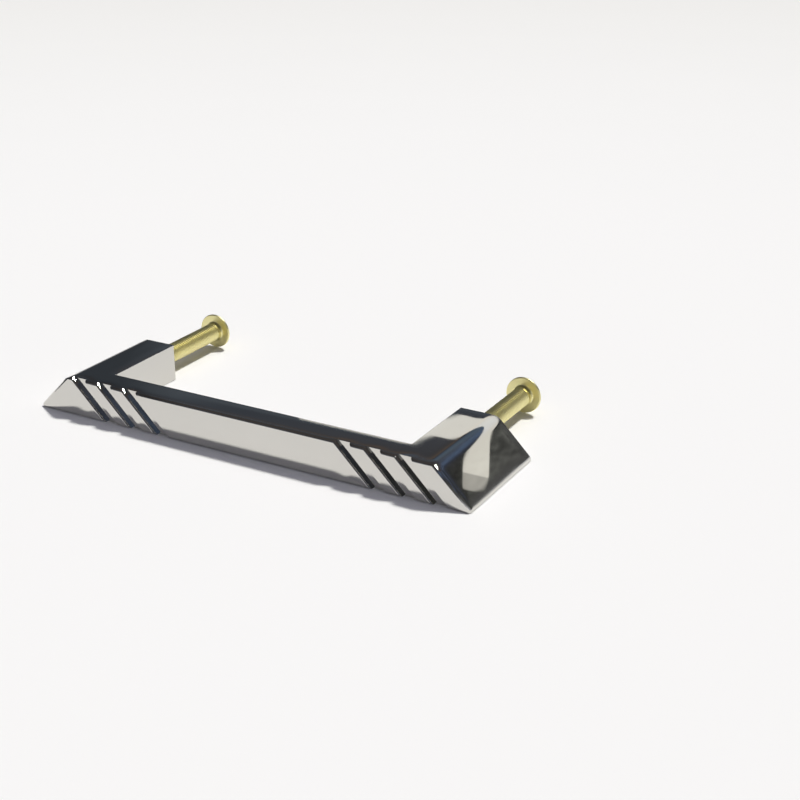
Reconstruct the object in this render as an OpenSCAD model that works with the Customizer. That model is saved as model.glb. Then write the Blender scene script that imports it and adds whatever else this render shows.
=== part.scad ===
// Bar pull for a drawer or door, with its two mounting screws.
// It lies on the long side of its bar. X runs along the bar and the front face looks to -Y.
// The two feet look to +Y, where the drawer front goes between them and the screw heads.

/* [Bar] */
// Distance between the two screw axes
hole_spacing = 96; // [72:1:192]
// Distance from each tip of the bar to the screw axis beside it
hole_inset = 14; // [13:0.1:18]
// Width of the front face, from its long edge to its short edge
bar_width = 10; // [9.8:0.1:12]
// Thickness of the bar between the posts
bar_thickness = 7.6; // [5:0.1:12]
// Distance from the front face to the drawer front
projection = 31.6; // [24:0.2:40]
// Angle between the end cuts and the long edge
cut_angle = 45; // [40:1:60]

/* [Posts] */
// Distance from each screw axis to the inner face of its post
post_wall = 5; // [4:0.1:7]
// Radius of the inner corners where the bar meets the posts
inner_corner_radius = 0.5; // [0.3:0.1:3]

/* [Rounded edges] */
// Radius of the front edge along both end cuts
front_end_radius = 1.15; // [0.4:0.05:1.3]
// Radius of the front edges along the bar
front_long_radius = 0.7; // [0.2:0.05:1]
// Radius of the outer edges around the feet
foot_edge_radius = 0.25; // [0.15:0.05:0.5]
// Radius of the edges around the finger opening
opening_edge_radius = 0.3; // [0.1:0.05:0.5]
// Radius of the two blunt corners of the outline
blunt_corner_radius = 5; // [0.5:0.1:7]
// Height of the small flat at each tip of the outline
tip_height = 1; // [0.9:0.05:1.6]
// Radius of the outline where that flat meets the end cut
tip_radius = 1.4; // [0.4:0.05:1.5]
// Radius of the outline where that flat meets the long edge
tip_foot_radius = 0.3; // [0.15:0.05:0.3]

/* [Grooves] */
// Number of grooves near each end
grooves_per_end = 3; // [1:1:4]
// Distance from one groove to the next, along the bar
groove_pitch = 8; // [6:0.1:10]
// Width of a groove, square to its walls
groove_width = 3.5; // [2:0.05:4.2]
// Depth of a groove below the front face
groove_depth = 1.2; // [0.9:0.05:2]
// Radius of the front edge along each groove's left wall
groove_edge_radius = 0.45; // [0.2:0.05:0.8]
// How far each groove's right wall leans outwards
groove_wall_lean = 12; // [0:1:30]
// Land on the short edge between the left end cut and the first groove
left_land = 1.3; // [1:0.1:6]
// Land on the long edge between the last groove and the right tip
right_land = 5.1; // [4:0.1:8]

/* [Screws] */
// Outside diameter of the screw thread
screw_diameter = 5; // [3:0.1:6]
// Length of the screw under its head
screw_length = 30; // [20:0.5:45]
// Length of thread that sits in the post
thread_engagement = 5.2; // [4:0.1:9]
// Free depth of the hole past the screw's point
hole_spare_depth = 4.5; // [1:0.1:6]
// Radial clearance of the smooth stand-in for the thread in its hole
thread_clearance = 0.05; // [0.02:0.01:0.15]
// Width of the countersink around the hole's mouth
countersink_width = 0.35; // [0.1:0.05:0.8]
// Diameter of the screw head
head_diameter = 9.5; // [8:0.1:9.6]
// Height of the screw head
head_height = 2.5; // [2:0.1:3]
// Height of the straight rim under the head's dome
head_rim_height = 0.5; // [0.3:0.1:0.9]
// Span of the cross recess over two opposite wings
recess_span = 4.4; // [3.5:0.1:5]
// Width of each wing of the cross recess
recess_wing_width = 0.9; // [0.6:0.05:1.2]
// Depth of the cross recess
recess_depth = 1.6; // [1:0.1:1.8]
// Bevel at the point of the screw
point_bevel = 0.5; // [0.2:0.1:0.8]

/* [Hidden] */
$fn = 96;

pull_length = hole_spacing + 2 * hole_inset;
post_length = hole_inset + post_wall;
// How far the line of a cut moves along the bar between the long edge and the short edge
cut_run = bar_width / tan(cut_angle);
// How far the line of an end cut meets the long edge's line past the tip
tip_run = tip_height / tan(cut_angle);
// What the outline gains in length from the short edge to the tip at each end
end_run = cut_run - tip_run;
groove_step = groove_width / sin(cut_angle);
groove_span = (grooves_per_end - 1) * groove_pitch;
first_left_groove = end_run + left_land + cut_run;
first_right_groove = pull_length - right_land - groove_step - groove_span;
hole_radius = screw_diameter / 2 + thread_clearance;
hole_depth = thread_engagement + hole_spare_depth;
drill_point_angle = 118;
drill_point_height = hole_radius / tan(drill_point_angle / 2);
head_seat_y = projection + screw_length - thread_engagement;
dome_height = head_height - head_rim_height;
dome_radius = (pow(head_diameter / 2, 2) + pow(dome_height, 2)) / (2 * dome_height);
overall_depth = head_seat_y + head_height;
// Reach of each cutting shape past the surface that it cuts
past = 1;
nickel = [0.80, 0.79, 0.77];
brass = [0.84, 0.77, 0.50];

// Direction of an angle in a drawing
function ray(angle) = [cos(angle), sin(angle)];

// What a corner at the origin loses when it is rounded between edges that leave at two angles
module corner_waste(first_angle, second_angle, radius) {
    half = abs(second_angle - first_angle) / 2;
    reach = radius + past;
    rotate((first_angle + second_angle) / 2) translate([radius / sin(half), 0]) rotate(180)
        difference() {
            polygon([[0, 0], reach * ray(90 - half), [reach / sin(half), 0], reach * ray(half - 90)]);
            circle(radius);
        }
}

// What both corners on the near side of a rectangle lose
module near_corners_waste(width, radius) {
    for (side = [0, 1])
        translate([side * width, 0]) mirror([side, 0]) corner_waste(0, 90, radius);
}

// Rectangle from the origin with its two near corners and its two far corners rounded
module rounded_rectangle(width, depth, near_radius, far_radius) {
    difference() {
        square([width, depth]);
        near_corners_waste(width, near_radius);
        translate([0, depth]) mirror([0, 1]) near_corners_waste(width, far_radius);
    }
}

// Carries a drawing of X and Z back from the front face
module carried_back(depth) {
    rotate([90, 0, 0]) mirror([0, 0, 1]) linear_extrude(depth) children();
}

// Carries a drawing of Y and Z to the right
module carried_right(length) {
    rotate([90, 0, 90]) linear_extrude(length) children();
}

// Repeats a shape of the left end and mirrors the copy to the right end
module at_both_ends() {
    for (side = [0, 1])
        translate([side * pull_length, 0, 0]) mirror([side, 0, 0]) children();
}

// Puts a shape in the axes of a cut that starts at this place on the long edge:
// its X is square to the cut, its Y runs back and its Z runs up the cut
module along_cut(x) {
    translate([x, 0, 0]) rotate([0, cut_angle - 90, 0]) children();
}

// A prism that runs along a cut, well past everything that it can meet
module carried_up_cut(x) {
    reach = 2 * pull_length;
    along_cut(x) translate([0, 0, -reach]) linear_extrude(2 * reach) children();
}

// All that lies on the inner side of the right end cut, with its edges rounded
module inside_right_cut() {
    far = 2 * pull_length;
    carried_up_cut(pull_length + tip_run)
        translate([-far, 0]) rounded_rectangle(far, projection, front_end_radius, foot_edge_radius);
}

// The bar and both posts as one block, before the finger opening
module solid_block() {
    difference() {
        intersection() {
            linear_extrude(bar_width)
                rounded_rectangle(pull_length, projection, front_end_radius, foot_edge_radius);
            translate([-past, 0, 0]) carried_right(pull_length + 2 * past)
                translate([0, bar_width]) rotate(-90)
                    rounded_rectangle(bar_width, projection, front_long_radius, foot_edge_radius);
            inside_right_cut();
            translate([pull_length, 0, 0]) mirror([1, 0, 0]) inside_right_cut();
        }
        at_both_ends() translate([0, -past, 0]) carried_back(projection + 2 * past) {
            corner_waste(0, 90, tip_foot_radius);
            translate([0, tip_height]) corner_waste(-90, cut_angle, tip_radius);
            translate([end_run, bar_width]) corner_waste(0, cut_angle - 180, blunt_corner_radius);
        }
    }
}

// What is cut away between the posts
module finger_opening() {
    span = pull_length - 2 * post_length;
    depth = projection - bar_thickness + past;
    translate([post_length, bar_thickness, -past]) linear_extrude(bar_width + 2 * past)
        difference() {
            square([span, depth]);
            near_corners_waste(span, inner_corner_radius);
        }
    for (side = [0, 1])
        translate([0, bar_thickness, side * bar_width]) mirror([0, 0, side]) {
            translate([post_length, 0, 0]) carried_right(span)
                corner_waste(90, 180, opening_edge_radius);
            at_both_ends() translate([post_length, 0, 0]) carried_back(depth)
                corner_waste(90, 180, opening_edge_radius);
        }
    at_both_ends() translate([post_length, projection, -past]) linear_extrude(bar_width + 2 * past)
        corner_waste(180, 270, foot_edge_radius);
}

// What one groove cuts away, with its left edge at this place on the long edge
module groove(x) {
    lean = tan(groove_wall_lean);
    carried_up_cut(x) difference() {
        polygon([
            [0, -past],
            [groove_width + past * lean, -past],
            [groove_width - groove_depth * lean, groove_depth],
            [0, groove_depth],
        ]);
        translate([0, groove_edge_radius]) circle(groove_edge_radius);
        translate([-past, groove_edge_radius]) square([groove_edge_radius + past, groove_depth]);
    }
}

// Blind hole for a screw, drilled into a foot from the drawer side
module screw_hole() {
    mouth_radius = hole_radius + countersink_width;
    rotate([90, 0, 0]) rotate_extrude() polygon([
        [0, -past],
        [mouth_radius + past, -past],
        [hole_radius, countersink_width],
        [hole_radius, hole_depth],
        [0, hole_depth + drill_point_height],
    ]);
}

// One-piece pull: bar, two posts, the grooves and the two screw holes
module pull_body() {
    color(nickel) placed() difference() {
        solid_block();
        finger_opening();
        for (first = [first_left_groove, first_right_groove])
            for (i = [0 : grooves_per_end - 1])
                groove(first + i * groove_pitch);
        at_both_ends() translate([hole_inset, projection, bar_width / 2]) screw_hole();
    }
}

// Section of a screw from its axis outwards, with its head's seat at zero
module screw_section() {
    thread_radius = screw_diameter / 2;
    polygon([
        [0, -screw_length],
        [thread_radius - point_bevel, -screw_length],
        [thread_radius, point_bevel - screw_length],
        [thread_radius, head_rim_height],
        [0, head_rim_height],
    ]);
    intersection() {
        square([head_diameter / 2, head_height]);
        translate([0, head_height - dome_radius]) circle(dome_radius);
    }
}

// Mounting screw whose domed head looks away from the pull
module mounting_screw(x) {
    color(brass) placed() translate([x, head_seat_y, bar_width / 2]) rotate([-90, 0, 0])
        difference() {
            rotate_extrude() screw_section();
            for (turn = [0, 90])
                translate([0, 0, head_height + (past - recess_depth) / 2]) rotate(turn)
                    cube([recess_span, recess_wing_width, recess_depth + past], center = true);
        }
}

module mounting_screw_left() {
    mounting_screw(hole_inset);
}

module mounting_screw_right() {
    mounting_screw(pull_length - hole_inset);
}

// Puts the origin under the middle of the whole part
module placed() {
    translate([-pull_length / 2, -overall_depth / 2, 0]) children();
}

pull_body();
mounting_screw_left();
mounting_screw_right();
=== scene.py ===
"""Looks of a polished bar pull and its two mounting screws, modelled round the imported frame."""

import math

import bmesh
import bpy
from bpy.props import FloatProperty, FloatVectorProperty, PointerProperty
from mathutils import Matrix, Vector


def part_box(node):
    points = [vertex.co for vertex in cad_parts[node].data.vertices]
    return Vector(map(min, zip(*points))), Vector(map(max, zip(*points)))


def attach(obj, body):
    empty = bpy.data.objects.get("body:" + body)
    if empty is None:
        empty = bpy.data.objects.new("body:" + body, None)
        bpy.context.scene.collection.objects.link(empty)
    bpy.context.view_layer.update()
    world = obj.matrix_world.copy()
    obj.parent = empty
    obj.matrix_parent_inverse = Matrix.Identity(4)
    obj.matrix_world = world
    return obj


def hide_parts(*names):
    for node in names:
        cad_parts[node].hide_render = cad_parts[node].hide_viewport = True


bl_info = {
    "name": "Grooved Bar Pull",
    "version": (1, 0, 0),
    "blender": (4, 5, 0),
    "location": "3D View > Sidebar > Bar Pull",
    "description": "Polishes the pull, makes its two threaded screws and sets the studio",
    "category": "Object",
}

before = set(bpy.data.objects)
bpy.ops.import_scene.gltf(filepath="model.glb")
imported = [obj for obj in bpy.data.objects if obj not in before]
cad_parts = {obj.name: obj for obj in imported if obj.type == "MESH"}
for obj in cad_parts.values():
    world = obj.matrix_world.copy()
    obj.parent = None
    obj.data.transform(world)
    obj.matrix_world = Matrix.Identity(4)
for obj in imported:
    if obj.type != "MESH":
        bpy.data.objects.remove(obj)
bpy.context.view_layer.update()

MM = 0.001
# Units per metre while a piece is shaped, so that bevels and booleans work on sizes near one
WORKSHOP = 1000.0
SCREW_NODES = ("mounting_screw_left", "mounting_screw_right")

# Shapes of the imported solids

# The two blunt corners of the pull's outline, whose axes run along Y, in the workshop's units
BLUNT_RADIUS = 5.0
BLUNT_AXIS_X = 50.929
BLUNT_AXIS_Z = 5.0
HEAD_HEIGHT = 2.5 * MM
SHANK_RADIUS = 2.5 * MM

# Limits for reading and mending a mesh, in the workshop's units

# Faces smaller than this say nothing about a curve's direction
TINY_AREA = 1e-4
# Cosine over which two faces look the same way
SAME_DIRECTION = math.cos(math.radians(0.3))
# A face of the body larger than this is one of its flat faces
BODY_FLAT_AREA = 10.0
# How far a place may be from a blunt corner's surface, and inwards of its axis
NEAR_CORNER = 0.02
NEAR_AXIS = 0.01
# Cosine over which a normal belongs to the rounded side of a blunt corner
SAME_SIDE = 0.9
# Height under which a place is on the plane of the head's seat, and its distance from a ring
ON_SEAT = 0.001
NEAR_RING = 0.02
# A face whose normal has less than this upward part looks straight down
STRAIGHT_DOWN = -0.99
# Distances within which vertices are merged, and length of an edge that is as good as none
MERGE_BODY = 0.0008
MERGE_THREAD = 0.001
MERGE_SCREW = 0.0005
NO_LENGTH = 0.002
# Angle between faces that are parts of one flat face
FLAT_ANGLE = math.radians(0.15)
# Angles from which an edge is softened, and from which it is shaded sharp
SOFTEN_ANGLE = math.radians(42)
BODY_SHARP_ANGLE = math.radians(38)
SCREW_SHARP_ANGLE = math.radians(33)
# How much large faces count in the normals of a screw, where 50 lets all faces count alike
FLAT_WEIGHT = 90

# How finely curves are divided

SOFTENING_STEPS = 3
HEAD_STEPS = 96
RIM_STEPS = 4
FILLET_STEPS = 5
THREAD_STEPS = 40

# Proportions of the screws, in the workshop's units

# The thread's flats at its crest and root are the pitch divided by these
CREST_PART = 8
ROOT_PART = 6
# Turns that are made too many and cut off
SPARE_TURNS = 2
# Length of thread inside the neck, and reach of a cutter past the head
THREAD_OVERLAP = 0.4
CUTTER_REACH = 0.5
# Size of a recess wing's floor as shares of its mouth
RECESS_TAPER = (0.5, 0.75, 1)
# Side of the small plane that is merged to the first point of a profile
SEED_SIZE = 0.01


# Sizes and colours that a user would change

def length_setting(name, description, default, low):
    """A setting that is a length, with its default and least value in millimetres."""
    return FloatProperty(
        name=name, description=description, default=default * MM, min=low * MM,
        unit="LENGTH", precision=5)


def angle_setting(name, description, degrees):
    return FloatProperty(
        name=name, description=description, default=math.radians(degrees), subtype="ANGLE")


def share_setting(name, description, default):
    """A setting between none and all."""
    return FloatProperty(
        name=name, description=description, default=default, min=0.0, max=1.0, subtype="FACTOR")


def strength_setting(name, description, default):
    return FloatProperty(name=name, description=description, default=default, min=0.0)


def color_setting(name, description, default):
    return FloatVectorProperty(
        name=name, description=description, default=default, min=0.0, max=1.0, subtype="COLOR")


class ScrewSizes(bpy.types.PropertyGroup):
    """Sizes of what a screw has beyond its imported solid"""
    thread_pitch: length_setting(
        "Thread pitch", "Advance of the thread in one turn", 0.8, 0.2)
    thread_depth: length_setting(
        "Thread depth", "Depth of the thread from its crest to its root", 0.45, 0.05)
    neck_length: length_setting(
        "Neck length", "Plain shank between the head and the thread", 1.1, 0.2)
    neck_radius: length_setting(
        "Neck radius", "Radius of the plain shank under the head", 2.45, 0.5)
    neck_fillet: length_setting(
        "Neck fillet", "Radius of the fillet between neck and head", 0.5, 0.05)
    rim_height: length_setting(
        "Rim height", "Height of the straight rim under the dome", 0.5, 0.1)
    rim_radius: length_setting(
        "Rim edge radius", "Radius of the rim's edge on the seat side", 0.25, 0.02)
    point_bevel: length_setting(
        "Point bevel", "Bevel at the point of the screw", 0.5, 0.1)
    recess_span: length_setting(
        "Recess span", "Span of the cross recess over two opposite wings", 4.4, 1.0)
    recess_wing: length_setting(
        "Recess wing", "Width of each wing of the cross recess", 0.9, 0.2)
    recess_depth: length_setting(
        "Recess depth", "Depth of the cross recess", 1.6, 0.2)
    left_turn: angle_setting(
        "Left turn", "How far the left screw is turned on its axis", 17)
    right_turn: angle_setting(
        "Right turn", "How far the right screw is turned on its axis", 64)


class FinishSettings(bpy.types.PropertyGroup):
    """Colours and polish of the plated pieces"""
    nickel_color: color_setting(
        "Nickel", "Colour of the polished nickel plate", (0.63, 0.618, 0.582))
    nickel_roughness: share_setting(
        "Nickel roughness", "Roughness of the polished plate", 0.035)
    melt_radius: length_setting(
        "Melted edge width", "How far polishing has rolled the faces at edges", 4.0, 0.0)
    melt_amount: share_setting(
        "Melted edge amount", "How much polishing has rolled the faces at edges", 0.35)
    brass_color: color_setting(
        "Brass", "Colour of the plate on the screws", (0.85, 0.785, 0.42))
    brass_roughness: share_setting(
        "Brass roughness", "Roughness of the plate on the screws", 0.4)
    edge_softening: length_setting(
        "Edge softening", "Width that polishing takes off the last sharp edges", 0.07, 0.0)


class StageSettings(bpy.types.PropertyGroup):
    """Floor and lights"""
    floor_color: color_setting(
        "Floor", "Colour of the pale paper floor", (0.93, 0.93, 0.93))
    floor_size: FloatProperty(
        name="Floor size", description="Side of the square floor",
        default=12.0, min=1.0, unit="LENGTH")
    key_strength: strength_setting(
        "Key light", "Strength of the light from overhead", 2.75)
    key_color: color_setting(
        "Key colour", "Colour of the light from overhead", (1.0, 0.985, 0.93))
    key_angle: angle_setting(
        "Key softness", "Angle that the overhead light spans", 7)
    fill_strength: strength_setting(
        "Fill light", "Brightness of the wide soft light overhead", 0.48)
    strip_strength: strength_setting(
        "Strip light", "Brightness of the low strip behind the pull", 0.9)


# Selecting and shaping

def activate(piece):
    """Makes this the only selected object and the active one."""
    if bpy.context.mode != "OBJECT":
        bpy.ops.object.mode_set(mode="OBJECT")
    bpy.ops.object.select_all(action="DESELECT")
    piece.select_set(True)
    bpy.context.view_layer.objects.active = piece


def name_new(name):
    """Names the object that was just added, and its mesh."""
    piece = bpy.context.active_object
    piece.name = name
    piece.data.name = name
    return piece


def select_where(piece, part, test):
    """Goes to edit mode with only the edges or faces selected that pass the test."""
    activate(piece)
    bpy.ops.object.mode_set(mode="EDIT")
    bpy.ops.mesh.select_mode(type=part)
    bpy.ops.mesh.select_all(action="DESELECT")
    shape = bmesh.from_edit_mesh(piece.data)
    items = shape.edges if part == "EDGE" else shape.faces
    chosen = 0
    for item in items:
        if test(item):
            item.select_set(True)
            chosen += 1
    bmesh.update_edit_mesh(piece.data)
    if not chosen:
        raise RuntimeError(f"nothing to select on {piece.name}")


def leave_edit():
    """Goes back to object mode, which writes the edits to the mesh."""
    bpy.ops.object.mode_set(mode="OBJECT")


def apply_place(piece):
    """Moves an object's place, turn and scale into its mesh."""
    activate(piece)
    bpy.ops.object.transform_apply(location=True, rotation=True, scale=True)


def edit_whole(piece, *steps):
    """Runs mesh operators in edit mode, each with the whole piece selected."""
    activate(piece)
    bpy.ops.object.mode_set(mode="EDIT")
    for operator, options in steps:
        bpy.ops.mesh.select_all(action="SELECT")
        operator(**options)
    leave_edit()


def apply_modifiers(piece):
    """Applies all of a piece's modifiers in their order."""
    activate(piece)
    for modifier in list(piece.modifiers):
        bpy.ops.object.modifier_apply(modifier=modifier.name)


def boolean(piece, cutter, operation):
    """Joins or cuts a piece with another, which is used up."""
    modifier = piece.modifiers.new("boolean", "BOOLEAN")
    modifier.operation = operation
    modifier.solver = "EXACT"
    modifier.object = cutter
    apply_modifiers(piece)
    bpy.data.objects.remove(cutter, do_unlink=True)


def cut_plane(piece, point, normal):
    """Cuts a piece with a plane, drops what lies on the normal's side and closes the cut."""
    edit_whole(piece, (bpy.ops.mesh.bisect, {
        "plane_co": point, "plane_no": normal, "use_fill": True, "clear_outer": True}))


def clean_mesh(piece, distance):
    """Merges doubles and points all faces outwards."""
    edit_whole(
        piece,
        (bpy.ops.mesh.remove_doubles, {"threshold": distance}),
        (bpy.ops.mesh.normals_make_consistent, {"inside": False}))


def smooth(piece, angle):
    """Shades a piece smooth up to an angle, with the flat faces kept flat."""
    activate(piece)
    bpy.ops.object.shade_smooth_by_angle(angle=angle)
    modifier = piece.modifiers.new("flat faces", "WEIGHTED_NORMAL")
    modifier.mode = "FACE_AREA"
    modifier.weight = FLAT_WEIGHT
    modifier.keep_sharp = True
    apply_modifiers(piece)


def smooth_fan(vertex, first, waiting, sharp_angle):
    """The faces round a vertex that join the first one without a sharp edge between."""
    fan = [first]
    for face in fan:
        for edge in face.edges:
            if vertex in edge.verts and edge.calc_face_angle(math.pi) < sharp_angle:
                for other in edge.link_faces:
                    if other in waiting:
                        waiting.remove(other)
                        fan.append(other)
    return fan


def fan_normal(fan, flat_area):
    """The normal of the largest flat face in a fan, or else the mean over its strips."""
    largest = max(fan, key=lambda face: face.calc_area())
    if largest.calc_area() > flat_area:
        return largest.normal.copy()
    directions = []
    for face in fan:
        known = any(face.normal.dot(other) > SAME_DIRECTION for other in directions)
        if face.calc_area() > TINY_AREA and not known:
            directions.append(face.normal)
    return sum(directions, Vector()).normalized() if directions else largest.normal.copy()


def round_corner_normal(place, normal):
    """The true normal on a blunt corner of the outline, or else the one that is given."""
    away = Vector((abs(place.x) - BLUNT_AXIS_X, 0, place.z - BLUNT_AXIS_Z))
    if abs(away.length - BLUNT_RADIUS) > NEAR_CORNER or away.x < -NEAR_AXIS:
        return normal
    away = Vector((math.copysign(away.x, place.x), 0, away.z)).normalized()
    return away if normal.dot(away) > SAME_SIDE else normal


def settle_normals(piece, sharp_angle, flat_area):
    """Shades a piece smooth between its sharp edges, with its flat faces kept quite flat."""
    activate(piece)
    bpy.ops.object.shade_smooth()
    shape = bmesh.new()
    shape.from_mesh(piece.data)
    found = {}
    for vertex in shape.verts:
        waiting = set(vertex.link_faces)
        while waiting:
            first = min(waiting, key=lambda face: face.index)
            waiting.remove(first)
            fan = smooth_fan(vertex, first, waiting, sharp_angle)
            normal = round_corner_normal(vertex.co, fan_normal(fan, flat_area))
            for face in fan:
                found[face.index, vertex.index] = normal
    normals = [found[face.index, loop.vert.index] for face in shape.faces for loop in face.loops]
    shape.free()
    piece.data.normals_split_custom_set(normals)


def to_metres(piece):
    """Brings a piece from the workshop's scale to metres, with its place in its mesh."""
    piece.scale = (1 / WORKSHOP,) * 3
    apply_place(piece)


# Materials

class Signal:
    """A shader socket that adds Math nodes when it is used in an expression."""

    def __init__(self, finish, socket):
        self.finish = finish
        self.socket = socket

    def __add__(self, other):
        return self.finish.math("ADD", self, other)

    def __sub__(self, other):
        return self.finish.math("SUBTRACT", self, other)

    def __rsub__(self, other):
        return self.finish.math("SUBTRACT", other, self)

    def __mul__(self, other):
        return self.finish.math("MULTIPLY", self, other)

    def __gt__(self, other):
        return self.finish.math("GREATER_THAN", self, other)

    def __lt__(self, other):
        return self.finish.math("LESS_THAN", self, other)

    __radd__ = __add__
    __rmul__ = __mul__


# The Mix node's sockets for each kind of value: both inputs and the result
MIX_SOCKETS = {"VECTOR": (4, 5, 1), "RGBA": (6, 7, 2)}


class Finish:
    """The node tree of one material or of the world."""

    def __init__(self, owner):
        owner.use_nodes = True
        self.tree = owner.node_tree
        self.tree.nodes.clear()

    def node(self, kind, settings=None, inputs=None, output=0):
        """Adds a node, sets it up first and then gives its sockets values or links."""
        node = self.tree.nodes.new(kind)
        for name, value in (settings or {}).items():
            if name == "stops":
                self.set_stops(node.color_ramp, value)
            else:
                setattr(node, name, value)
        for name, value in (inputs or {}).items():
            if value is None:
                continue
            if isinstance(value, Signal):
                self.tree.links.new(value.socket, node.inputs[name])
            else:
                node.inputs[name].default_value = value
        if not node.outputs:
            return None
        return Signal(self, node.outputs[output])

    @staticmethod
    def set_stops(ramp, stops):
        """Gives a colour ramp these stops instead of its own."""
        while len(ramp.elements) > 1:
            ramp.elements.remove(ramp.elements[-1])
        for index, (place, color) in enumerate(stops):
            element = ramp.elements[0] if index == 0 else ramp.elements.new(place)
            element.position = place
            element.color = (*color, 1.0)

    def math(self, operation, first, second=None):
        return self.node("ShaderNodeMath", {"operation": operation}, {0: first, 1: second})

    def noise(self, place, scale, detail=2.0):
        return self.node("ShaderNodeTexNoise", {}, {
            "Vector": place, "Scale": scale, "Detail": detail})

    def parts(self, vector):
        """The X, Y and Z parts of a vector."""
        return [self.node("ShaderNodeSeparateXYZ", {}, {0: vector}, axis) for axis in range(3)]

    def ramp(self, value, stops):
        return self.node("ShaderNodeValToRGB", {"stops": stops}, {0: value})

    def mix(self, kind, amount, first, second, blend="MIX"):
        """Goes from the first vector or colour to the second as the amount rises."""
        first_socket, second_socket, result = MIX_SOCKETS[kind]
        return self.node("ShaderNodeMix", {"data_type": kind, "blend_type": blend}, {
            0: amount, first_socket: first, second_socket: second}, result)

    def between(self, value, start, end, low, high, curve="SMOOTHSTEP"):
        """Goes from low to high while the value goes from start to end."""
        return self.node("ShaderNodeMapRange", {"interpolation_type": curve}, {
            0: value, 1: start, 2: end, 3: low, 4: high})

    def shaded(self, color, shades, amount):
        """A colour that goes from one shade of itself to another as the amount rises."""
        dark, light = (
            (*(min(1.0, channel * shade) for channel in color), 1.0) for shade in shades)
        return self.mix("RGBA", amount, dark, light)

    def uneven(self, level, spread, pattern):
        """A level that a pattern moves up and down by a share of itself."""
        return level * (1 - spread) + level * 2 * spread * pattern

    def metal(self, color, roughness, normal):
        """Makes the material a bare metal."""
        shader = self.node("ShaderNodeBsdfPrincipled", {}, {
            "Base Color": color, "Metallic": 1.0, "Roughness": roughness, "Normal": normal})
        self.node("ShaderNodeOutputMaterial", {}, {"Surface": shader})


# Outputs of the Texture Coordinate and Geometry nodes
GENERATED, OBJECT_PLACE, FACING = 0, 3, 1

# Scales of the patterns in the plates, in waves to the metre
NICKEL_CLOUDS = 90.0
NICKEL_SWELL = 160.0
NICKEL_GRAIN = 2600.0
BRASS_CLOUDS = 300.0
BRASS_GRAIN = 3500.0
CLOUD_DETAIL = 3.0
SWELL_DETAIL = 1.0
# Darkest and lightest shade of each plate, as shares of its colour
NICKEL_SHADES = (0.97, 1.02)
BRASS_SHADES = (0.92, 1.05)
# Share by which each plate's roughness varies
NICKEL_SPREAD = 0.3
BRASS_SPREAD = 0.25
# Strength and height of each plate's unevenness
NICKEL_BUMP = (0.05, 0.02 * MM)
BRASS_BUMP = (0.15, 0.01 * MM)
# Only faces that look up by more than this part of their normal are rolled at their edges
ROLLED_UPWARD = 0.3
ROLLED_SAMPLES = 10
# In front of this place, on the front edge and in the grooves, only what is higher is rolled
GROOVE_FLOOR = -28.2 * MM
GROOVE_LIP = 8.6 * MM
# The bar is rolled by a share of what the posts are, which start at these distances sideways
POST_START = 43 * MM
POST_FULL = 49 * MM
BAR_SHARE = 0.22
# The faces are rolled less towards the feet
FOOT_START = -6 * MM
FOOT_FULL = 0.5 * MM
FOOT_SHARE = 0.2


def rolled_normal(finish, place, settings):
    """The normals of faces that polishing has rolled over at their edges."""
    facing = finish.node("ShaderNodeNewGeometry", output=FACING)
    rounded = finish.node(
        "ShaderNodeBevel", {"samples": ROLLED_SAMPLES}, {"Radius": settings.melt_radius})
    upward = finish.parts(facing)[2]
    along, back, up = finish.parts(place)
    in_front = back < GROOVE_FLOOR
    on_post = finish.between(
        finish.math("ABSOLUTE", along), POST_START, POST_FULL, BAR_SHARE, 1.0)
    off_foot = finish.between(back, FOOT_START, FOOT_FULL, 1.0, FOOT_SHARE)
    reach = in_front * (up > GROOVE_LIP) + (1 - in_front) * on_post * off_foot
    amount = (upward > ROLLED_UPWARD) * reach * settings.melt_amount
    melted = finish.mix("VECTOR", amount, facing, rounded)
    return finish.node("ShaderNodeVectorMath", {"operation": "NORMALIZE"}, {0: melted})


def nickel_finish(settings):
    """Bright nickel plate on a hand-polished casting."""
    material = bpy.data.materials.new("polished_nickel")
    finish = Finish(material)
    place = finish.node("ShaderNodeTexCoord", output=OBJECT_PLACE)
    cloud = finish.noise(place, NICKEL_CLOUDS, CLOUD_DETAIL)
    grain = finish.noise(place, NICKEL_GRAIN)
    strength, height = NICKEL_BUMP
    bump = finish.node("ShaderNodeBump", {}, {
        "Strength": strength, "Distance": height,
        "Height": finish.noise(place, NICKEL_SWELL, SWELL_DETAIL),
        "Normal": rolled_normal(finish, place, settings)})
    finish.metal(
        finish.shaded(settings.nickel_color, NICKEL_SHADES, cloud),
        finish.uneven(settings.nickel_roughness, NICKEL_SPREAD, grain), bump)
    return material


def brass_finish(settings):
    """Light brass-coloured plate on a rolled steel screw."""
    material = bpy.data.materials.new("screw_plate")
    finish = Finish(material)
    place = finish.node("ShaderNodeTexCoord", output=OBJECT_PLACE)
    cloud = finish.noise(place, BRASS_CLOUDS, CLOUD_DETAIL)
    strength, height = BRASS_BUMP
    bump = finish.node("ShaderNodeBump", {}, {
        "Strength": strength, "Distance": height,
        "Height": finish.noise(place, BRASS_GRAIN)})
    finish.metal(
        finish.shaded(settings.brass_color, BRASS_SHADES, cloud),
        finish.uneven(settings.brass_roughness, BRASS_SPREAD, cloud), bump)
    return material


PAPER_CLOUDS = 4.0
PAPER_SHADES = (0.99, 1.0)


def paper_finish(settings):
    """Plain pale paper."""
    material = bpy.data.materials.new("floor_paper")
    finish = Finish(material)
    place = finish.node("ShaderNodeTexCoord", output=OBJECT_PLACE)
    cloud = finish.noise(place, PAPER_CLOUDS)
    shader = finish.node("ShaderNodeBsdfDiffuse", {}, {
        "Color": finish.shaded(settings.floor_color, PAPER_SHADES, cloud)})
    finish.node("ShaderNodeOutputMaterial", {}, {"Surface": shader})
    return material


# Pull body

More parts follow.
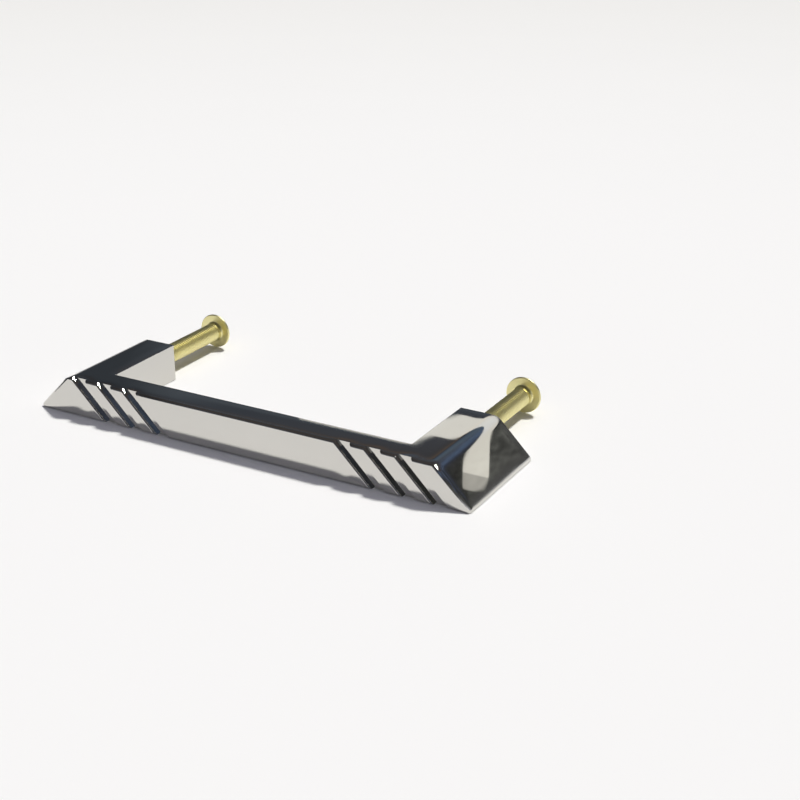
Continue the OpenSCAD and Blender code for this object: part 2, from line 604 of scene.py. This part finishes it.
def polished_copy(node_name, edge_softening):
    """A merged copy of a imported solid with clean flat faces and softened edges."""
    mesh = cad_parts[node_name].data.copy()
    mesh.materials.clear()
    piece = bpy.data.objects.new("polished_" + node_name, mesh)
    bpy.context.scene.collection.objects.link(piece)
    piece.scale = (WORKSHOP,) * 3
    apply_place(piece)
    bpy.ops.mesh.customdata_custom_splitnormals_clear()
    clean_mesh(piece, MERGE_BODY)
    edit_whole(
        piece,
        (bpy.ops.mesh.dissolve_degenerate, {"threshold": NO_LENGTH}),
        (bpy.ops.mesh.dissolve_limited, {"angle_limit": FLAT_ANGLE}),
        (bpy.ops.mesh.dissolve_degenerate, {"threshold": NO_LENGTH}))
    if edge_softening:
        modifier = piece.modifiers.new("softened edges", "BEVEL")
        modifier.width = edge_softening * WORKSHOP
        modifier.segments = SOFTENING_STEPS
        modifier.limit_method = "ANGLE"
        modifier.angle_limit = SOFTEN_ANGLE
        apply_modifiers(piece)
    settle_normals(piece, BODY_SHARP_ANGLE, BODY_FLAT_AREA)
    to_metres(piece)
    return piece


class PULL_OT_polish_body(bpy.types.Operator):
    """Makes the polished pull body over its solid"""
    bl_idname = "pull.polish_body"
    bl_label = "Polish pull body"

    def execute(self, context):
        finishes = context.scene.pull_finishes
        piece = polished_copy("pull_body", finishes.edge_softening)
        piece.data.materials.append(nickel_finish(finishes))
        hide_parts("pull_body")
        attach(piece, "root")
        return {"FINISHED"}


# Screws

def looks_down(face):
    return face.normal.z < STRAIGHT_DOWN


def on_seat_ring(radius):
    """A test for the edges of a ring of this radius on the plane of the head's seat."""
    def test(edge):
        return all(
            abs(vertex.co.z) < ON_SEAT and abs(vertex.co.xy.length - radius) < NEAR_RING
            for vertex in edge.verts)
    return test


def drawn_profile(name, points):
    """A line of edges through these points, drawn by extruding one vertex."""
    bpy.ops.object.select_all(action="DESELECT")
    bpy.ops.mesh.primitive_plane_add(size=SEED_SIZE, location=(0, 0, 0))
    piece = name_new(name)
    bpy.ops.object.mode_set(mode="EDIT")
    bpy.ops.mesh.select_mode(type="VERT")
    bpy.ops.mesh.select_all(action="SELECT")
    bpy.ops.mesh.merge(type="CENTER")
    bpy.ops.transform.translate(value=points[0])
    for before, after in zip(points, points[1:]):
        bpy.ops.mesh.extrude_region_move(TRANSFORM_OT_translate={"value": after - before})
    leave_edit()
    return piece


def make_thread(sizes, crest_radius, low, high):
    """A threaded rod along Z from low to high."""
    pitch = sizes.thread_pitch * WORKSHOP
    root_radius = crest_radius - sizes.thread_depth * WORKSHOP
    crest_flat = pitch / CREST_PART
    root_flat = pitch / ROOT_PART
    flank = (pitch - crest_flat - root_flat) / 2
    heights = (0, root_flat, root_flat + flank, root_flat + flank + crest_flat, pitch)
    radii = (root_radius, root_radius, crest_radius, crest_radius, root_radius)
    points = [Vector((radius, 0, low - pitch + height)) for radius, height in zip(radii, heights)]
    rod = drawn_profile("screw_thread", points)
    modifier = rod.modifiers.new("turns", "SCREW")
    modifier.axis = "Z"
    modifier.screw_offset = pitch
    modifier.steps = THREAD_STEPS
    modifier.render_steps = THREAD_STEPS
    modifier.iterations = math.ceil((high - low) / pitch) + SPARE_TURNS
    apply_modifiers(rod)
    clean_mesh(rod, MERGE_THREAD)
    cut_plane(rod, (0, 0, high), (0, 0, 1))
    cut_plane(rod, (0, 0, low), (0, 0, -1))
    bevel = sizes.point_bevel * WORKSHOP
    for vertex in rod.data.vertices:
        allowed = crest_radius - bevel + (vertex.co.z - low)
        radius = vertex.co.xy.length
        if radius > allowed:
            vertex.co.x *= allowed / radius
            vertex.co.y *= allowed / radius
    clean_mesh(rod, MERGE_THREAD)
    return rod


def make_head(sizes, radius, height):
    """A domed head along Z with its seat at zero and its neck below."""
    rim = sizes.rim_height * WORKSHOP
    dome = height - rim
    dome_radius = (radius ** 2 + dome ** 2) / (2 * dome)
    bpy.ops.object.select_all(action="DESELECT")
    bpy.ops.mesh.primitive_uv_sphere_add(
        segments=HEAD_STEPS, ring_count=HEAD_STEPS, radius=dome_radius,
        location=(0, 0, height - dome_radius))
    head = name_new("screw_head")
    apply_place(head)
    cut_plane(head, (0, 0, rim), (0, 0, -1))
    select_where(head, "FACE", looks_down)
    bpy.ops.mesh.extrude_region_move(TRANSFORM_OT_translate={"value": (0, 0, -rim)})
    leave_edit()
    select_where(head, "EDGE", on_seat_ring(radius))
    bpy.ops.mesh.bevel(
        offset=sizes.rim_radius * WORKSHOP, segments=RIM_STEPS, affect="EDGES")
    leave_edit()
    neck_radius = sizes.neck_radius * WORKSHOP
    flat_radius = radius - sizes.rim_radius * WORKSHOP
    select_where(head, "FACE", looks_down)
    bpy.ops.mesh.inset(thickness=flat_radius - neck_radius)
    bpy.ops.mesh.extrude_region_move(
        TRANSFORM_OT_translate={"value": (0, 0, -sizes.neck_length * WORKSHOP)})
    leave_edit()
    select_where(head, "EDGE", on_seat_ring(neck_radius))
    bpy.ops.mesh.bevel(
        offset=sizes.neck_fillet * WORKSHOP, segments=FILLET_STEPS, affect="EDGES")
    leave_edit()
    return head


def make_recess_wing(sizes, height, turn):
    """One bar of the cross that is sunk in the head, narrower at its floor."""
    depth = sizes.recess_depth * WORKSHOP
    top = height + CUTTER_REACH
    bpy.ops.object.select_all(action="DESELECT")
    bpy.ops.mesh.primitive_cube_add(
        size=1, location=(0, 0, (top + height - depth) / 2),
        scale=(sizes.recess_span * WORKSHOP, sizes.recess_wing * WORKSHOP, top - height + depth))
    wing = name_new("recess_wing")
    apply_place(wing)
    select_where(wing, "FACE", looks_down)
    bpy.ops.transform.resize(value=RECESS_TAPER)
    leave_edit()
    wing.rotation_euler = (0, 0, turn)
    apply_place(wing)
    return wing


def make_screw(sizes, low, high):
    """One screw along Z with its seat at zero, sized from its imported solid's box."""
    radius = (high.x - low.x) / 2 * WORKSHOP
    height = HEAD_HEIGHT * WORKSHOP
    length = (high.y - low.y) * WORKSHOP - height
    thread_top = THREAD_OVERLAP - sizes.neck_length * WORKSHOP
    head = make_head(sizes, radius, height)
    rod = make_thread(sizes, SHANK_RADIUS * WORKSHOP, -length, thread_top)
    boolean(head, rod, "UNION")
    for turn in (0, math.pi / 2):
        boolean(head, make_recess_wing(sizes, height, turn), "DIFFERENCE")
    clean_mesh(head, MERGE_SCREW)
    return head


class PULL_OT_make_screws(bpy.types.Operator):
    """Makes both threaded mounting screws"""
    bl_idname = "pull.make_screws"
    bl_label = "Make mounting screws"

    def execute(self, context):
        sizes = context.scene.pull_screws
        material = brass_finish(context.scene.pull_finishes)
        low, high = (Vector(corner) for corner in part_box(SCREW_NODES[0]))
        master = make_screw(sizes, low, high)
        for node, turn in zip(SCREW_NODES, (sizes.left_turn, sizes.right_turn)):
            low, high = (Vector(corner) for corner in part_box(node))
            screw = bpy.data.objects.new("threaded_" + node, master.data.copy())
            context.scene.collection.objects.link(screw)
            seat = Vector(((low.x + high.x) / 2, high.y - HEAD_HEIGHT, (low.z + high.z) / 2))
            placed = Matrix.Translation(seat * WORKSHOP) @ Matrix.Rotation(-math.pi / 2, 4, "X")
            screw.matrix_world = placed @ Matrix.Rotation(turn, 4, "Z")
            apply_place(screw)
            smooth(screw, SCREW_SHARP_ANGLE)
            to_metres(screw)
            screw.data.materials.append(material)
            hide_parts(node)
            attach(screw, "root")
        bpy.data.objects.remove(master, do_unlink=True)
        return {"FINISHED"}


# Stage, with its places and sizes in metres

# The camera was found by fitting the pull's corners to the photograph
CAMERA_PLACE = Vector((0.19349, -0.29086, 0.15151))
CAMERA_TURN = math.radians(29.71)
CAMERA_TILT = math.radians(22.99)
CAMERA_ROLL = math.radians(-0.206)
PICTURE_WIDTH = 800
FOCAL_PIXELS = 1492.2
SENSOR_WIDTH = 36.0
# Direction from the pull to the overhead light
KEY_DIRECTION = Vector((0.235, 0.45, 1.0))
# The strip hangs level behind the pull. Its parts: name, left end, right end and share of light
STRIP_Y = 0.027
STRIP_Z = 0.028
STRIP_PARTS = (("strip_light", -0.019, 0.0835, 1.0), ("strip_end", 0.0835, 0.0885, 0.53))
STRIP_HEIGHT = 0.0078
STRIP_COLOR = (1.0, 0.975, 0.91)
# The fill hangs above the middle of the pull
FILL_SIZE = 1.2
FILL_HEIGHT = 0.8
FILL_COLOR = (0.84, 0.84, 1.0)

# The room's colours by the height of the direction: the back left, and the back right
LEFT_ROOM = (
    (0.00, (0.60, 0.60, 0.62)),
    (0.08, (0.40, 0.41, 0.44)),
    (0.18, (0.09, 0.10, 0.12)),
    (0.33, (0.078, 0.090, 0.110)),
    (0.382, (0.082, 0.096, 0.116)),
    (0.392, (0.050, 0.058, 0.074)),
    (0.415, (0.066, 0.070, 0.084)),
    (0.435, (0.050, 0.050, 0.055)),
    (0.455, (0.150, 0.110, 0.085)),
    (0.480, (0.048, 0.042, 0.042)),
    (0.520, (0.075, 0.105, 0.150)),
    (0.570, (0.105, 0.140, 0.190)),
    (0.620, (0.060, 0.052, 0.050)),
    (1.00, (0.065, 0.060, 0.060)),
)
RIGHT_ROOM = (
    (0.00, (0.60, 0.60, 0.62)),
    (0.08, (0.40, 0.41, 0.44)),
    (0.18, (0.10, 0.10, 0.105)),
    (0.36, (0.090, 0.090, 0.091)),
    (0.39, (0.106, 0.108, 0.104)),
    (0.415, (0.045, 0.046, 0.044)),
    (0.50, (0.045, 0.050, 0.070)),
    (0.57, (0.090, 0.130, 0.220)),
    (0.66, (0.060, 0.052, 0.050)),
    (1.00, (0.065, 0.060, 0.060)),
)
# The room goes from left to right over these sideways parts of the direction
ROOM_LEFT_END = -0.2
ROOM_RIGHT_START = 0.2
# The far left gets darker by this share over these sideways parts of the direction
DIM_START = -0.58
DIM_FULL = -0.61
DIM_SHARE = 0.45
# The speckle multiplies the right room's colours from this height of the direction upwards
SPECKLE = ((0.44, (0.45, 0.45, 0.45)), (0.60, (1.90, 1.90, 1.90)))
SPECKLE_SCALE = 260.0
SPECKLE_START = 0.2


def room_finish(world):
    """A dim room that is pale at the horizon and speckled high up on the right."""
    finish = Finish(world)
    direction = finish.node("ShaderNodeTexCoord", output=GENERATED)
    sideways, _, height = finish.parts(direction)
    left = finish.ramp(height, LEFT_ROOM)
    right = finish.ramp(height, RIGHT_ROOM)
    speckle = finish.ramp(finish.noise(direction, SPECKLE_SCALE), SPECKLE)
    speckled = finish.mix("RGBA", height > SPECKLE_START, right, speckle, "MULTIPLY")
    turned = finish.between(sideways, ROOM_LEFT_END, ROOM_RIGHT_START, 0.0, 1.0)
    around = finish.mix("RGBA", turned, left, speckled)
    dim = finish.between(sideways, DIM_START, DIM_FULL, 0.0, DIM_SHARE, "LINEAR")
    color = finish.mix("RGBA", dim, around, (0.0, 0.0, 0.0, 1.0))
    light = finish.node("ShaderNodeBackground", {}, {"Color": color, "Strength": 1.0})
    finish.node("ShaderNodeOutputWorld", {}, {"Surface": light})


def make_camera(scene):
    """The camera that the photograph was taken with, as far as it could be fitted."""
    data = bpy.data.cameras.new("camera")
    data.sensor_width = SENSOR_WIDTH
    data.lens = FOCAL_PIXELS / PICTURE_WIDTH * SENSOR_WIDTH
    camera = bpy.data.objects.new("camera", data)
    turn = Matrix.Rotation(CAMERA_TURN, 4, "Z")
    tilt = Matrix.Rotation(math.pi / 2 - CAMERA_TILT, 4, "X")
    roll = Matrix.Rotation(CAMERA_ROLL, 4, "Z")
    camera.matrix_world = Matrix.Translation(CAMERA_PLACE) @ turn @ tilt @ roll
    scene.collection.objects.link(camera)
    scene.camera = camera


def add_lamp(scene, name, kind, light, placing):
    """Adds a lamp with these settings of its light and of its object."""
    data = bpy.data.lights.new(name, kind)
    lamp = bpy.data.objects.new(name, data)
    for owner, values in ((data, light), (lamp, placing)):
        for setting, value in values.items():
            setattr(owner, setting, value)
    scene.collection.objects.link(lamp)


def make_key_light(scene, settings):
    """The light from overhead, which throws the shadows."""
    add_lamp(scene, "key_light", "SUN", {
        "energy": settings.key_strength,
        "color": settings.key_color,
        "angle": settings.key_angle,
    }, {
        "rotation_euler": KEY_DIRECTION.to_track_quat("Z", "Y").to_euler(),
    })


def make_fill_light(scene, settings):
    """A wide soft light overhead that opens up the shadows."""
    add_lamp(scene, "fill_light", "AREA", {
        "size": FILL_SIZE,
        "color": FILL_COLOR,
        "energy": settings.fill_strength * math.pi * FILL_SIZE ** 2,
    }, {
        "location": (0, 0, FILL_HEIGHT),
        "visible_camera": False,
        "visible_glossy": False,
    })


def make_strip_light(scene, settings):
    """A low strip light that only shows in the polished faces, and its dim right end."""
    for name, start, end, share in STRIP_PARTS:
        area = (end - start) * STRIP_HEIGHT
        add_lamp(scene, name, "AREA", {
            "shape": "RECTANGLE",
            "size": end - start,
            "size_y": STRIP_HEIGHT,
            "color": STRIP_COLOR,
            "energy": settings.strip_strength * share * math.pi * area,
        }, {
            "location": ((start + end) / 2, STRIP_Y, STRIP_Z),
            "rotation_euler": (-math.pi / 2, 0, 0),
            "visible_camera": False,
            "visible_diffuse": False,
        })


class PULL_OT_set_stage(bpy.types.Operator):
    """Makes the floor, the lights and the camera"""
    bl_idname = "pull.set_stage"
    bl_label = "Set the stage"

    def execute(self, context):
        scene = context.scene
        settings = scene.pull_stage
        bpy.ops.object.select_all(action="DESELECT")
        bpy.ops.mesh.primitive_plane_add(size=settings.floor_size, location=(0, 0, 0))
        floor = name_new("floor")
        floor.data.materials.append(paper_finish(settings))
        world = bpy.data.worlds.new("room")
        scene.world = world
        room_finish(world)
        make_key_light(scene, settings)
        make_fill_light(scene, settings)
        make_strip_light(scene, settings)
        make_camera(scene)
        scene.view_settings.view_transform = "Standard"
        return {"FINISHED"}


class PULL_PT_sidebar(bpy.types.Panel):
    """Lists the pull's pieces, their sizes and finishes"""
    bl_label = "Bar Pull"
    bl_idname = "PULL_PT_sidebar"
    bl_space_type = "VIEW_3D"
    bl_region_type = "UI"
    bl_category = "Bar Pull"

    def draw(self, context):
        layout = self.layout
        scene = context.scene
        for settings, operator in (
            (scene.pull_finishes, PULL_OT_polish_body),
            (scene.pull_screws, PULL_OT_make_screws),
            (scene.pull_stage, PULL_OT_set_stage),
        ):
            box = layout.box()
            for name in settings.__annotations__:
                box.prop(settings, name)
            box.operator(operator.bl_idname)


CLASSES = (
    ScrewSizes, FinishSettings, StageSettings,
    PULL_OT_polish_body, PULL_OT_make_screws, PULL_OT_set_stage,
    PULL_PT_sidebar,
)


def register():
    for kind in CLASSES:
        bpy.utils.register_class(kind)
    bpy.types.Scene.pull_screws = PointerProperty(type=ScrewSizes)
    bpy.types.Scene.pull_finishes = PointerProperty(type=FinishSettings)
    bpy.types.Scene.pull_stage = PointerProperty(type=StageSettings)


def unregister():
    del bpy.types.Scene.pull_stage
    del bpy.types.Scene.pull_finishes
    del bpy.types.Scene.pull_screws
    for kind in reversed(CLASSES):
        bpy.utils.unregister_class(kind)


def main():
    """Builds the whole scene."""
    register()
    bpy.ops.pull.polish_body()
    bpy.ops.pull.make_screws()
    bpy.ops.pull.set_stage()


if __name__ == "__main__":
    main()
